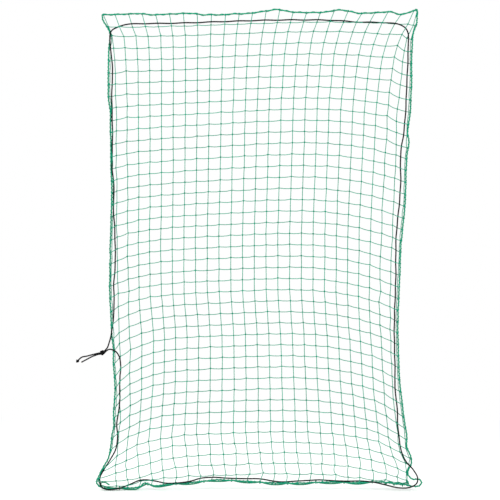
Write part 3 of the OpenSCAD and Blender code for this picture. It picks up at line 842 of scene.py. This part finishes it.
# ------------------------------------------------------------------ knot and tails
kc = np.array([KNOT_AT[0], float(ybil(KNOT_AT[1])) + EL_Y, KNOT_AT[1] - 2.5])
knot = Mesh()
for s, d, turn, off in ((3.0, 3.2, 0.0, (0, 0, 0)), (2.5, 2.6, 1.1, (.5, -1.2, .6))):
    n = 60
    line = turned(trefoil(n, s, d), turn, .15) + kc + np.array(off)
    rr = closed_rings(line, CORD_R - .25, 12)
    kal = np.linspace(0, 150, len(rr))
    knot.add(rr, kal, .5, cap=False)
o = knot.build("overhand_knot", BRAID)
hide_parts("elastic_knot")
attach(o, "cord_pull")


def tail_points(route, inset, back):
    r = [(KNOT_AT[0] - inset, route[0][1] + 1.0)] + list(route)
    p = smooth(r, 2.0)
    return lift3(p, EL_Y + back)


pa = tail_points(TAIL_A, 9, 0.0)
pb = tail_points(TAIL_B, 7, 2.6)
made = {}
for name, p, body in (("knotted_tail_cord", pa, "knotted_tail"), ("bare_tail_cord", pb, "bare_tail")):
    m = Mesh()
    m.add(braid_rings(p, arc(p)), arc(p), .5)
    o = m.build(name, BRAID)
    made[name] = (o, p)
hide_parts("knotted_tail_sheath", "knotted_tail_core")
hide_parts("bare_tail_sheath", "bare_tail_core")

end = pa[-1]
stop = Mesh()
line = turned(trefoil(48, 1.75, 2.1), .5, .3) + end + np.array([-2.5, 0, -3.0])
rr = closed_rings(line, 2.45, 12)
stop.add(rr, np.linspace(0, 90, len(rr)), .5, cap=False)
stopper = stop.build("stopper_knot", BRAID)
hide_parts("tail_stopper_knot")
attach(stopper, "knotted_tail")

# the cut end of the bare tail shows the rubber strands inside the sheath
cut = Mesh()
t = tangents(pb)[-1]
n, b = frames(pb)
n, b = n[-1], b[-1]
for k in range(7):
    a = k * 2 * math.pi / 6
    off = (0 if k == 6 else 1.35) * (math.cos(a) * n + math.sin(a) * b)
    p = np.array([pb[-1] + off + t * s for s in (-2.0, 0.0, .9, 1.5)])
    cut.add(tube_rings(p, np.array([.62, .62, .6, .25]), 8), arc(p), .5)
cut_o = cut.build("bare_tail_rubber_strands", RUBBER)
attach(cut_o, "bare_tail")

for key, body, extra in (("knotted_tail_cord", "knotted_tail", [stopper]), ("bare_tail_cord", "bare_tail", [cut_o])):
    o, p = made[key]
    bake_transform(o)

# ------------------------------------------------------------------ floor, light, world
def floor():
    m, nt, bsdf = material("studio_floor")
    nt.nodes.remove(bsdf)
    out = next(x for x in nt.nodes if x.type == "OUTPUT_MATERIAL")
    co = nt.nodes.new("ShaderNodeTexCoord")
    ln = nt.nodes.new("ShaderNodeVectorMath")
    ln.operation = "LENGTH"
    nt.links.new(co.outputs["Object"], ln.inputs[0])
    mr = nt.nodes.new("ShaderNodeMapRange")
    mr.interpolation_type = "SMOOTHSTEP"
    mr.inputs["From Min"].default_value = .5
    mr.inputs["From Max"].default_value = 2.6
    nt.links.new(ln.outputs["Value"], mr.inputs["Value"])
    dif = nt.nodes.new("ShaderNodeBsdfDiffuse")
    dif.inputs[0].default_value = (.97, .97, .965, 1)
    em = nt.nodes.new("ShaderNodeEmission")
    em.inputs[0].default_value = (1, 1, 1, 1)
    em.inputs[1].default_value = 1.0
    mix = nt.nodes.new("ShaderNodeMixShader")
    nt.links.new(mr.outputs[0], mix.inputs[0])
    nt.links.new(dif.outputs[0], mix.inputs[1])
    nt.links.new(em.outputs[0], mix.inputs[2])
    nt.links.new(mix.outputs[0], out.inputs[0])
    me = bpy.data.meshes.new("floor")
    s = 40.0
    me.from_pydata([(-s, -s, 0), (s, -s, 0), (s, s, 0), (-s, s, 0)], [], [(0, 1, 2, 3)])
    me.materials.append(m)
    o = bpy.data.objects.new("floor", me)
    scene.collection.objects.link(o)
    o.location = (0, 0, CAD_LO[2] - .0015)


floor()
world = bpy.data.worlds.new("world")
scene.world = world
world.use_nodes = True
world.node_tree.nodes["Background"].inputs[0].default_value = (1, 1, 1, 1)
world.node_tree.nodes["Background"].inputs[1].default_value = 1.0


def area(name, loc, rot, size, power):
    light = bpy.data.lights.new(name, "AREA")
    light.shape, light.size, light.energy = "SQUARE", size, power
    o = bpy.data.objects.new(name, light)
    o.location, o.rotation_euler = loc, rot
    scene.collection.objects.link(o)


area("key", (-2.2, -3.2, 1.6), (math.radians(58), 0, math.radians(-35)), 2.0, 90)
area("fill", (2.8, -2.6, .2), (math.radians(78), 0, math.radians(47)), 2.4, 40)
scene.view_settings.view_transform = "Standard"
scene.view_settings.look = "None"
